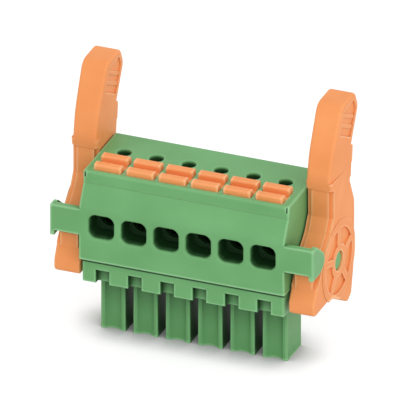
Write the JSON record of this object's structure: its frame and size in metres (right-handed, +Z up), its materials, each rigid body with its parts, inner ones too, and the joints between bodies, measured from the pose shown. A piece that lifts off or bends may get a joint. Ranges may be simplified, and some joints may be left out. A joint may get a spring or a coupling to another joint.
{
  "type": "pluggable terminal block",
  "caption": "Push-in plug for a board header: a row of wire entries with push buttons and test holes, contact legs below, and a lock and release lever at each end.",
  "frame": {"origin": "on the surface the legs stand on, under the middle of the plug's box", "axes": "+X along the row of poles, +Y from the wire entries to the back, +Z up from the leg ends"},
  "size_m": [0.0414, 0.0184, 0.0396],
  "materials": {
    "housing_green": "moulded green polyamide, fine satin texture",
    "carrier_green": "moulded green polyamide, fine satin texture",
    "lever_orange": "moulded orange polyamide, satin",
    "button_orange": "moulded orange polyamide, satin",
    "contact_metal": "tin-plated copper alloy strip",
    "spring_steel": "stainless spring strip"
  },
  "bodies": {
    "housing": {"upper_housing": "housing_green", "lower_housing": "carrier_green", "contact_1": "contact_metal", "contact_2": "contact_metal", "contact_3": "contact_metal", "contact_4": "contact_metal", "contact_5": "contact_metal", "contact_6": "contact_metal", "clamp_spring_1": "spring_steel", "clamp_spring_2": "spring_steel", "clamp_spring_3": "spring_steel", "clamp_spring_4": "spring_steel", "clamp_spring_5": "spring_steel", "clamp_spring_6": "spring_steel"},
    "right_lever": {"lever_right": "lever_orange"},
    "left_lever": {"lever_left": "lever_orange"},
    "button_1": {"push_button_1": "button_orange"},
    "button_2": {"push_button_2": "button_orange"},
    "button_3": {"push_button_3": "button_orange"},
    "button_4": {"push_button_4": "button_orange"},
    "button_5": {"push_button_5": "button_orange"},
    "button_6": {"push_button_6": "button_orange"}
  },
  "joints": [
    {"name": "right_lever_hinge", "type": "hinge", "parent": "housing", "child": "right_lever", "pos_m": [0.01845, 0.00136, 0.015], "axis": [1, 0, 0], "range_deg": [0, 25]},
    {"name": "left_lever_hinge", "type": "hinge", "parent": "housing", "child": "left_lever", "pos_m": [-0.01845, 0.00136, 0.015], "axis": [1, 0, 0], "range_deg": [0, 25]},
    {"name": "button_1_press", "type": "slide", "parent": "housing", "child": "button_1", "axis": [0, 0, -1], "range_m": [0, 0.0012], "stiffness_N_per_m": 2000, "springref_m": -0.0005, "deforming": ["clamp_spring_1"]},
    {"name": "button_2_press", "type": "slide", "parent": "housing", "child": "button_2", "axis": [0, 0, -1], "range_m": [0, 0.0012], "stiffness_N_per_m": 2000, "springref_m": -0.0005, "deforming": ["clamp_spring_2"]},
    {"name": "button_3_press", "type": "slide", "parent": "housing", "child": "button_3", "axis": [0, 0, -1], "range_m": [0, 0.0012], "stiffness_N_per_m": 2000, "springref_m": -0.0005, "deforming": ["clamp_spring_3"]},
    {"name": "button_4_press", "type": "slide", "parent": "housing", "child": "button_4", "axis": [0, 0, -1], "range_m": [0, 0.0012], "stiffness_N_per_m": 2000, "springref_m": -0.0005, "deforming": ["clamp_spring_4"]},
    {"name": "button_5_press", "type": "slide", "parent": "housing", "child": "button_5", "axis": [0, 0, -1], "range_m": [0, 0.0012], "stiffness_N_per_m": 2000, "springref_m": -0.0005, "deforming": ["clamp_spring_5"]},
    {"name": "button_6_press", "type": "slide", "parent": "housing", "child": "button_6", "axis": [0, 0, -1], "range_m": [0, 0.0012], "stiffness_N_per_m": 2000, "springref_m": -0.0005, "deforming": ["clamp_spring_6"]}
  ]
}
